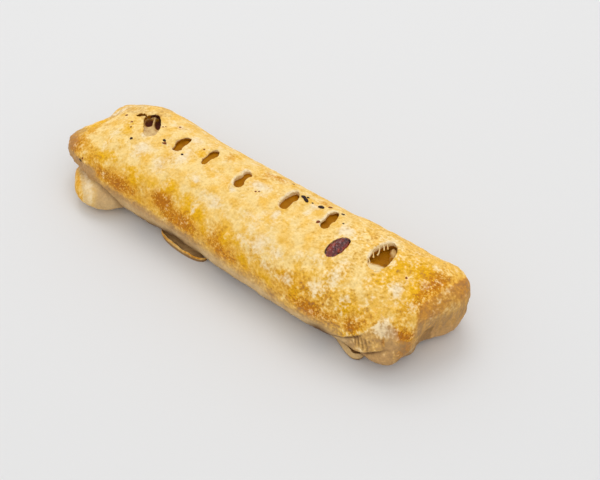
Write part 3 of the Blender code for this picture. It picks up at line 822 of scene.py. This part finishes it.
def pillow(middle, half_size, turn, rows, columns, squareness=2.2):
    """A rounded form: |x|^p + |y|^p + |z|^p = 1 at those half sizes, turned about Z."""
    rise = np.linspace(-math.pi / 2, math.pi / 2, rows)[:, None]
    round_it = np.linspace(0.0, 2.0 * math.pi, columns, endpoint=False)
    flat = power(np.cos(rise), 2.0 / squareness)
    x, y = flat * np.cos(round_it) * half_size[0], flat * np.sin(round_it) * half_size[1]
    z = power(np.sin(rise), 2.0 / squareness) * half_size[2] + 0 * x
    return np.stack([*turned(x, y, turn), z], -1) + middle


def nearest_to(points, others):
    """How far each point of a grid is from the nearest of some others."""
    return np.stack([np.sqrt(((row[:, None] - others) ** 2).sum(-1).min(-1)) for row in points])


def curled_lip(path, out, up):
    """A thin flap swept along a path in plan. Its profile says how far outside it and how high it lies."""
    path = np.stack(evenly(*open_curve(path, 400).T, LIP_STATIONS, closed=False), -1)
    ahead = np.gradient(path, axis=0)
    away = unit(np.stack([ahead[:, 1], -ahead[:, 0]], -1))
    taper = np.sin(np.linspace(0.0, math.pi, len(path)))[:, None] ** 0.5
    plan = path[:, None] + away[:, None] * (out * taper)[..., None]
    form = np.concatenate([plan, ((0.5 + 0.5 * taper) * up)[..., None]], -1)
    form += 0.22 * waves(form, 7.0, 34)[..., None] * ramp(1.0, 4.0, form[..., 2:])
    form[..., 2] = np.maximum(form[..., 2], 0.0)
    return form


def all_along(values):
    """One number per point of a curled lip, from one per point of its profile."""
    return grid_values(values * np.ones((LIP_STATIONS, 1)))


roll_foot = crust_points[::2, ::2].reshape(-1, 3)
x, y, z = roll_foot.T
roll_foot = roll_foot[(x < -88.0) & (y < 0.0) & (z < 40.0) & (z > 1.0)]
tuck = pillow(TUCK_MIDDLE, TUCK_HALF, TUCK_TURN, 70, 150)
tuck += outward(tuck) * (0.5 * waves(tuck, 16.0, 31) + 0.12 * waves(tuck, 5.0, 32))[..., None]
tuck[..., 2] = np.maximum(tuck[..., 2], 0.0)
tucked_end = make_piece("tucked_end", closed_grid(tuck), baked_crust)

# A toasted patch at the tuck's outer rim, a painted highlight in a strip inside it, and painted shade in a dark
# line where it meets the roll and along its bottom.
x, y, z = mesh_points(tucked_end.data).T
crease_shade = grid_values(bell(nearest_to(tuck, roll_foot), 2.4))
to_rim = -0.64 * (x + 131.0) - 0.77 * (y + 43.0)
patch = ramp(-4.0, -0.5, to_rim) * ramp(-110.0, -120.0, x) * ramp(4.0, 9.0, z)
painted_highlight = bell(to_rim + 6.5, 4.2) * ramp(-106.0, -114.0, x) * ramp(6.0, 12.0, z)
# Painted shade along the tuck's bottom, where it meets the table.
low = ramp(11.0, 1.0, z)
paint(tucked_end.data, golden=0.6, butter=0.9 * patch, toast=0.62 * patch, pale=painted_highlight, dull=0.6 * low, tan=0,
      bare=1 - 0.95 * np.maximum(patch, painted_highlight) - 0.5 * low,
      deep=0.6 * crease_shade * (1 - 0.5 * painted_highlight) + 0.9 * ramp(3.0, 0.5, z), grainy=0.5)
fit(tucked_end, "dough")

# The small fold is a flap that stands up round a pocket. Painted shade darkens it below its pale rim, and a
# little in the pocket.
FOLD_PATH = (
    (88.0, -33.0), (91.3, -35.0), (97.2, -37.6), (102.6, -39.6), (107.0, -40.2), (109.9, -38.8),
    (111.3, -36.2), (111.6, -32.5),
)
FOLD_PROFILE = (
    (-12.0, 0.0), (-4.0, 0.0), (-0.6, 0.0), (0.4, 1.0), (0.8, 2.6), (0.5, 4.6), (-0.1, 6.1), (-0.8, 6.6),
    (-1.4, 6.2), (-1.6, 5.6), (-2.0, 5.2), (-3.0, 4.8), (-5.0, 4.6), (-12.0, 4.6),
)
out, up = closed_curve(FOLD_PROFILE, PROFILE_POINTS).T
corner_fold = make_piece("small_fold", closed_grid(curled_lip(FOLD_PATH, out, up)), baked_crust)
rim, pocket = all_along(ramp(-1.2, -0.4, out) * ramp(1.0, 3.0, up)), all_along(ramp(-0.9, -1.5, out))
# Painted shade below the rim, and a little in the pocket.
paint(corner_fold.data, golden=0.5, butter=0, toast=0, pale=0.3 * rim, dull=1 - 0.6 * rim, tan=0,
      bare=0.8 * rim, deep=0.15 * pocket + 0.8 * (1 - rim) * (1 - pocket), grainy=0.5)
fit(corner_fold, "dough")

# ================================================================ the seam's lip
# The free edge of the sheet has curled out from under the roll on the front side. It is a thin flap with a
# toasted rim, and it makes a shallow pocket. Painted shade darkens the foot of the flap outside and the back
# of the pocket.

LIP_MIDDLE, LIP_HALF, LIP_TURN, LIP_SQUARENESS = (-41.8, -32.0), (20.8, 7.2), -4.0, 2.5
LIP_PROFILE = (
    (-12.0, 0.0), (-4.0, 0.0), (0.0, 0.0), (0.6, 0.7), (0.8, 1.8), (0.7, 3.2), (0.3, 4.4), (-0.2, 4.7),
    (-0.6, 4.2), (-0.8, 3.4), (-1.1, 2.8), (-1.8, 2.5), (-4.0, 2.4), (-12.0, 2.4),
)
x, y = squared_circle(np.linspace(-math.pi, 0.0, 41), LIP_SQUARENESS)
lip_path = np.stack(turned(x * LIP_HALF[0], y * LIP_HALF[1], LIP_TURN), -1) + LIP_MIDDLE
out, up = closed_curve(LIP_PROFILE, PROFILE_POINTS).T
seam_lip = make_piece("seam_lip", closed_grid(curled_lip(lip_path, out, up)), baked_crust)
high, outside = all_along(ramp(2.4, 3.8, up)), all_along(ramp(-0.5, 0.3, out))
behind = all_along(ramp(-3.0, -7.0, out))
# Painted shade low on the outside of the flap and at the back of the pocket.
paint(seam_lip.data, golden=0.6, butter=0.1 * high, toast=0.8 * high * outside, pale=0, dull=1 - high, tan=0,
      bare=(0.4 + 0.6 * high) * (1 - outside), deep=(1 - high) * (0.55 * outside + 0.35 * behind), grainy=0.7)
fit(seam_lip, "dough")

# ================================================================ what shows in the two wide vents
# The dough has torn down into the widest vents. Each has a slope of pale crumb on the near side that falls
# into dark oily pits. They are surfaces whose height is a formula of the place in plan.

LINING_REACH, LINING_BOTTOM = 1.16, 37.0  # how far past the vent's outline a lining runs, and its underside


def vent_lining(name, knots, floor_of):
    """A closed form under a vent, on rings that widen from its middle, as deep as its floor says."""
    outline = closed_curve(knots, 110)
    middle = outline.mean(0)
    share = np.linspace(0.0, 1.0, 40)[:, None, None]
    plan = middle + (outline - middle) * share * LINING_REACH
    x, y = np.moveaxis(plan, -1, 0)
    depth, crumb, burnt = floor_of(x, y)
    top = np.concatenate([plan, (crest_level(x, y) - depth)[..., None]], -1)
    top[..., 2] += 0.15 * waves(top, 2.2, 61)
    under = np.concatenate([plan[::-13], np.full_like(plan[::-13, :, :1], LINING_BOTTOM)], -1)
    piece = make_piece(name, closed_grid(np.concatenate([top, under])), torn_dough)
    crumb, burnt = (grid_values(np.concatenate([look, np.zeros(under.shape[:2])])) for look in (crumb, burnt))
    paint(piece.data, crumb=crumb, burnt=burnt)
    fit(piece, "dough")


def hill(x, y, middle, half_size, turn):
    """1 at the middle of an oval in plan, falling off outside its half sizes."""
    u, v = turned(x - middle[0], y - middle[1], -turn)
    return np.exp(-(((u / half_size[0]) ** 2 + (v / half_size[1]) ** 2) ** 2))


def first_vent_floor(x, y):
    """A slope that falls from the near rim, a ridge across its far end, and a burnt pit on each side of it."""
    down = np.clip(-0.35 * (x + 99.5) + 0.94 * (y + 5.0), 0.0, 11.0)
    pits = hill(x, y, (-108.2, 9.6), (5.0, 3.4), 118.0)
    pits = np.maximum(pits, hill(x, y, (-102.4, 12.6), (7.2, 2.7), -50.0))
    ridge = hill(x, y, (-105.6, 11.6), (6.0, 0.8), -55.0)
    depth = 0.9 + 0.24 * down + 2.6 * pits * (1.0 - 0.85 * ridge) - 0.7 * ridge
    crumb = 0.55 - 0.53 * pits * (1.0 - 0.8 * ridge)
    return depth, crumb, np.clip(1.3 * pits * (1.0 - ridge) - 0.2, 0.0, 0.9)


def wide_vent_floor(x, y):
    """A pale slope at the near rim, a deep oily middle and a lump of crumb on the far side."""
    down = np.clip(0.30 * (97.0 - x) + 0.95 * (y + 8.9), 0.0, 30.0)
    lump = hill(x, y, (98.6, 12.4), (7.5, 3.0), -58.0)
    depth = 0.6 + 0.36 * down * ramp(9.0, 7.0, down) + 5.5 * ramp(6.5, 9.5, down) - 3.0 * lump
    red = hill(x, y, (101.6, -1.6), (1.7, 1.0), 60.0)
    return depth - 2.2 * red, np.maximum(0.9 * ramp(7.8, 2.2, down), 0.42 * lump) * (1.0 - red), 0.55 * red


vent_lining("first_vent_lining", VENTS["vent_1"][0], first_vent_floor)
vent_lining("wide_vent_lining", VENTS["vent_8"][0], wide_vent_floor)

# ================================================================ strings of cheese
# Mozzarella has pulled into short strings across the rim of the widest vent. Each is a thin tube.

STRAND_RADIUS = 0.70
STRANDS = (
    ((89.4, 8.6, 52.8), (90.9, 7.4, 52.0), (92.0, 5.2, 51.0), (92.3, 3.0, 50.2)),
    ((89.9, 11.8, 52.6), (91.8, 10.8, 51.8), (93.6, 8.8, 50.6)),
    ((88.8, 2.2, 52.8), (90.4, 1.4, 52.0), (91.9, -0.6, 50.8)),
    ((89.4, -3.4, 52.6), (91.0, -3.9, 51.6), (92.6, -5.4, 50.4)),
    ((90.8, 14.2, 52.0), (92.8, 13.4, 51.0), (94.6, 11.4, 50.0)),
)


def tube(knots, radius, count=24, sides=8):
    """A tube along a smooth line, thinner at its middle and closed at both ends."""
    line = open_curve(knots, count)
    forward = unit(np.gradient(line, axis=0))
    side = unit(np.cross(forward, (0.0, 0.0, 1.0)))
    up = np.cross(side, forward)
    turn = np.linspace(0.0, 2.0 * math.pi, sides, endpoint=False)
    share = np.linspace(-1.0, 1.0, count)[:, None]
    thick = radius * (0.55 + 0.45 * share**2) * np.sqrt(np.clip(1.0 - share**20, 0.0, 1.0))
    offset = side[:, None] * (thick * np.cos(turn))[..., None]
    offset += up[:, None] * (thick * np.sin(turn))[..., None]
    return line[:, None] + offset


def joined_shapes(shapes):
    """Several closed forms as one set of points and faces."""
    points, faces, first = [], [], 0
    for some_points, some_faces in shapes:
        points.append(some_points)
        faces += [[first + corner for corner in face] for face in some_faces]
        first += len(some_points)
    return np.vstack(points), faces


def plain_finish(name, roughness, specular, pale, dark, size):
    """Two colours mixed by noise of that size, with relief to match."""
    finish = Finish(name, roughness, specular)
    grain = finish.noise(size)
    finish.feed("Base Color", finish.mixed(grain.spread(0.5, 2.5), pale, dark))
    finish.raise_relief(grain, 0.3)
    return finish.material


cheese = plain_finish("stringy_cheese", 0.4, 0.3, (0.93, 0.72, 0.38), (0.84, 0.52, 0.14), 1.5)
tubes = [closed_grid(tube(knots, STRAND_RADIUS)) for knots in STRANDS]
strands = make_piece("cheese_strings", joined_shapes(tubes), cheese)
fit(strands, "dough")

# ================================================================ grains and charred flecks
# Fine blisters and grains of cheese stand on the crust and shine, most of all on its toasted side. They are
# painted paler than the crust round them, partly as grains of cheese and partly as painted glints. Drops of
# filling have spat out of the vents and charred. Each is a small flattened dome half sunk in the crust.

GRAINS, GRAIN_RADIUS, GRAIN_FLATNESS, FLECK_FLATNESS = 5600, (0.26, 0.56), 0.5, 0.35
crust_out, crust_angle = outward(crust_points), girth(crust_points)


def dome(sides):
    """Points and faces of a small closed dome: a top point, two rings and a point below."""
    turn = np.linspace(0.0, 2.0 * math.pi, sides, endpoint=False)
    ring = np.column_stack([np.cos(turn), np.sin(turn), 0 * turn])
    points = np.vstack([
        (0.0, 0.0, 0.62), ring * 0.66 + (0.0, 0.0, 0.45), ring + (0.0, 0.0, -0.1), (0.0, 0.0, -0.5),
    ])
    here = np.arange(sides)
    after = (here + 1) % sides
    top, bottom = 0 * here, 0 * here + len(points) - 1
    upper, lower = 1 + here, 1 + sides + here
    upper_after, lower_after = 1 + after, 1 + sides + after
    faces = np.concatenate([
        np.stack([top, upper, upper_after], -1), np.stack([upper, lower, lower_after], -1),
        np.stack([upper, lower_after, upper_after], -1), np.stack([bottom, lower_after, lower], -1),
    ])
    return points, faces


def scattered(places, normals, sizes, flatness, sides, seed):
    """A dome at each place, turned to its normal, a little stretched and lopsided."""
    points, faces = dome(sides)
    draw = np.random.default_rng(seed)
    count = len(places)
    turn = draw.uniform(0.0, 2.0 * math.pi, count)
    side = unit(np.cross(normals, np.stack([np.cos(turn), np.sin(turn), 0.3 + 0 * turn], -1)))
    ahead = np.cross(normals, side)
    shape = points[None] * draw.uniform(0.85, 1.15, (count, len(points), 1))
    long_way = sizes * draw.uniform(0.8, 1.35, count)
    made = (
        places[:, None]
        + side[:, None] * (shape[..., 0:1] * long_way[:, None, None])
        + ahead[:, None] * (shape[..., 1:2] * sizes[:, None, None])
        + normals[:, None] * (shape[..., 2:3] * (sizes * flatness)[:, None, None])
    )
    all_faces = (faces[None] + (np.arange(count) * len(points))[:, None, None]).reshape(-1, 3)
    return made.reshape(-1, 3), all_faces.tolist()


def clear_of_vents(points):
    """1 away from the vents and 0 at them."""
    clear = np.ones(points.shape[:-1])
    for knots in (*(vent[0] for vent in VENTS.values()), SCORCHED_VENT):
        near, gap = beside_vent(points, closed_curve(knots, 60), 22.0)
        clear[near] *= ramp(0.8, 1.8, gap)
    return clear


x, y, z = np.moveaxis(crust_points, -1, 0)
length, breadth = (np.linalg.norm(np.gradient(crust_points, axis=axis), axis=-1) for axis in (0, 1))
buttered = 0.25 + 0.9 * toasted_band(crust_angle) + 0.5 * ramp(90.0, 120.0, x)
buttered += spots_at(x, crust_angle, BUTTER_SPOTS) + 0.5 * waves(crust_points, 12.0, 71)
buttered = np.clip(buttered, 0.05, 2.0) * ramp(20.0, 32.0, crust_angle) * ramp(186.0, 176.0, crust_angle)
buttered *= (1.0 - near_end(crust_points)) * (1.0 - near_corner(crust_points)) * clear_of_vents(crust_points)
buttered *= ramp(-147.0, -143.0, x) * ramp(10.0, 16.0, z)
draw = np.random.default_rng(72)
chance = (length * breadth * buttered)[1:-1].ravel()
picked = draw.choice(len(chance), GRAINS, replace=False, p=chance / chance.sum())
row, column = picked // ROUND_IT + 1, picked % ROUND_IT
u, v = draw.uniform(0.0, 1.0, (2, len(picked), 1))
here = crust_points[row, column] * (1 - u) + crust_points[row - 1, column] * u
there = crust_points[row, column - 1] * (1 - u) + crust_points[row - 1, column - 1] * u
sizes = draw.uniform(*GRAIN_RADIUS, len(picked))
grain_shape = scattered(here * (1 - v) + there * v, crust_out[row, column], sizes, GRAIN_FLATNESS, 6, 73)
grains = make_piece("crust_grains", grain_shape, baked_crust)
look = crust_look(mesh_points(grains.data))
# Paler than the crust round them, partly as painted glints, and with half of its painted shade.
look["toast"], look["butter"] = look["toast"] - 0.8, look["butter"] - 0.1
look["deep"] = 0.5 * look["deep"]
paint(grains.data, **look)
fit(grains, "dough")

# The two colours of each kind of fleck, then its places: along the roll, the angle round it, the radius.
FLECKS = {
    "char": ((0.050, 0.020, 0.014), (0.020, 0.010, 0.010), (
        (-103.1, 113, 1.3), (-64.3, 98, 1.2), (25.4, 67, 2.0), (28.0, 69, 1.8), (26.8, 62, 1.3),
        (32.5, 67, 0.9), (39.7, 64, 2.1), (38.4, 66, 1.2), (53.7, 57, 1.5), (-133.2, 165, 1.7),
        (-82.6, 93, 1.2), (60.5, 72, 0.8),
    )),
    "red": ((0.34, 0.09, 0.020), (0.16, 0.035, 0.012), (
        (-94.6, 74, 1.0), (-125.9, 78, 1.2), (-81.2, 96, 2.1), (-85.6, 61, 1.1), (-3.2, 92, 1.0),
        (-1.4, 90, 0.9), (43.0, 57, 1.6), (47.0, 88, 1.6), (116.9, 91, 0.9), (10.2, 50, 0.9),
        (-131.0, 161, 0.8), (-93.0, 70, 0.8), (-116.0, 90, 0.9), (-112.5, 98, 0.7), (-56.0, 75, 0.8),
    )),
}
for kind, (pale, dark, places) in FLECKS.items():
    run, turn, radii = np.array(places).T
    gaps = (x[..., None] - run) ** 2 + (0.6 * (crust_angle[..., None] - turn)) ** 2
    nearest = gaps.reshape(-1, len(places)).argmin(0)
    spots, out = crust_points.reshape(-1, 3)[nearest], crust_out.reshape(-1, 3)[nearest]
    finish = plain_finish(f"{kind}_flecks", 0.6, 0.15, pale, dark, 1.0)
    flecks = make_piece(f"{kind}_flecks", scattered(spots, out, radii, FLECK_FLATNESS, 9, 74), finish)
    fit(flecks, "dough")

# ================================================================ the filling
# Mozzarella, sauce and sliced meat, baked into one core. It has settled a little under the crust, and shows
# at the vents as oily golden-brown cheese.

FILLING_GAP = 0.3  # to the dough, all round
SWELLINGS = {"vent_2": 4.6, "vent_3": 4.6, "vent_4": 5.0, "vent_5": 5.7, "vent_6": 6.2}  # its rise there


def filling_top(x):
    """The height of the filling's crest: a level with a short wave that a longer wave swells and fades."""
    return 45.3 + 0.7 * np.sin(x / 6.0) * np.sin(x / 17.1 + 1.0)


filling_form = core_form(FILLING_GAP, filling_top, 260, 90)
filling_form += outward(filling_form) * (0.4 * waves(filling_form, 7.0, 41) - 0.4)[..., None]
for name, rise in SWELLINGS.items():
    gap = from_outline(filling_form[..., :2].reshape(-1, 2), closed_curve(VENTS[name][0], 60))
    near_vent = ramp(6.0, 1.5, gap).reshape(filling_form.shape[:2])
    filling_form[..., 2] += rise * near_vent * (filling_form[..., 2] > TOP_SIDE)
melted_filling = plain_finish("melted_filling", 0.45, 0.03, (0.47, 0.19, 0.004), (0.34, 0.12, 0.003), 4.0)
core = make_piece("filling_core", closed_grid(filling_form), melted_filling)
fit(core, "filling")

# ================================================================ the scorched filling
# Sauce and fat that have boiled up through the seventh vent and burnt to a dark, sticky, blistered plug.

SCORCHED_RED, SCORCHED_BLACK = (0.24, 0.014, 0.006), (0.022, 0.005, 0.008)
SCORCHED_SPECKS = (0.42, 0.05, 0.025)
PLUG_MIDDLE, PLUG_HALF, PLUG_TURN, PLUG_SQUARENESS = (69.9, -8.3, 50.6), (5.7, 10.3, 4.8), -5.0, 3.0
BUBBLES = 44


def scorched_finish(name):
    """Dark red and black patches with brighter specks, under a sticky coat."""
    finish = Finish(name, 0.22, 0.5)
    grain = finish.noise(1.2)
    colour = finish.mixed(finish.noise(4.0).spread(0.5, 4.0), SCORCHED_RED, SCORCHED_BLACK)
    finish.feed("Base Color", finish.mixed(grain.spread(0.62, 5.0), colour, SCORCHED_SPECKS))
    finish.shader.inputs["Coat Weight"].default_value = 0.35
    finish.shader.inputs["Coat Roughness"].default_value = 0.12
    finish.raise_relief(grain, 0.25)
    return finish.material


plug = pillow(PLUG_MIDDLE, PLUG_HALF, PLUG_TURN, 90, 150, PLUG_SQUARENESS)
x, y, z = np.moveaxis(plug, -1, 0)
waist = 1.0 - 0.16 * bell(y + 7.4, 2.6) + 0.06 * np.sin(y / 1.7)
x = PLUG_MIDDLE[0] + (x - PLUG_MIDDLE[0]) * np.where(z > 48.0, waist, 1.0)
draw = np.random.default_rng(51)
swell = 0 * z
bubbles = [draw.uniform(least, most, BUBBLES) for least, most in ((-5.2, 5.2), (-10.0, 9.4), (0.8, 1.7))]
for across, run, radius in zip(*bubbles):
    gap = np.hypot(x - PLUG_MIDDLE[0] - across, y + 7.8 - run) / radius
    swell = np.maximum(swell, np.sqrt(np.clip(1.0 - gap**2, 0.0, 1.0)) * radius * 0.75)
plug = np.stack([x, y, z + (swell - 0.7) * ramp(51.0, 54.0, z)], -1)
plug += outward(plug) * (0.15 * waves(plug, 2.0, 52))[..., None]
scorched = make_piece("scorched_plug", closed_grid(plug), scorched_finish("scorched_filling"))
fit(scorched, "scorched_filling")

# ================================================================ the table, the light and the camera
# A plain pale table, one large soft light above and behind to the left, and light from all round.

floor_mesh = bpy.data.meshes.new("table")
floor_mesh.from_pydata([(-4, -4, 0), (4, -4, 0), (4, 4, 0), (-4, 4, 0)], [], [(0, 1, 2, 3)])
pale_table = Finish("pale_table", 0.6, 0.5)
pale_table.shader.inputs["Base Color"].default_value = (0.78, 0.78, 0.78, 1.0)
floor_mesh.materials.append(pale_table.material)
floor = placed("table", floor_mesh)

world = bpy.data.worlds.new("studio")
bpy.context.scene.world = world
world.use_nodes = True
world.node_tree.nodes["Background"].inputs["Color"].default_value = (1.0, 1.0, 1.0, 1.0)
world.node_tree.nodes["Background"].inputs["Strength"].default_value = 0.85

# One large square light, aimed at the roll from that side, with its size and distance in metres.
SOFTBOX_SIDE, SOFTBOX_DISTANCE, SOFTBOX_SIZE, SOFTBOX_WATTS = Vector((-0.40, 0.45, 1.0)), 2.6, 1.4, 14.0
lamp = bpy.data.lights.new("softbox", "AREA")
lamp.size, lamp.energy = SOFTBOX_SIZE, SOFTBOX_WATTS
softbox = placed("softbox", lamp)
softbox.location = SOFTBOX_SIDE.normalized() * SOFTBOX_DISTANCE
softbox.rotation_euler = SOFTBOX_SIDE.to_track_quat("Z", "Y").to_euler()

CAMERA_AZIMUTH, CAMERA_ELEVATION, CAMERA_DISTANCE = math.radians(38.0), math.radians(47.5), 0.8625
target = Vector((0.01995, 0.02534, 0.0))
away_from = Vector((
    math.sin(CAMERA_AZIMUTH) * math.cos(CAMERA_ELEVATION),
    -math.cos(CAMERA_AZIMUTH) * math.cos(CAMERA_ELEVATION),
    math.sin(CAMERA_ELEVATION),
))
lens = bpy.data.cameras.new("camera")
lens.lens, lens.sensor_width = 75.0, 36.0
camera = placed("camera", lens)
camera.location = target + away_from * CAMERA_DISTANCE
camera.rotation_euler = away_from.to_track_quat("Z", "Y").to_euler()
bpy.context.scene.camera = camera
bpy.context.scene.view_settings.view_transform = "Standard"
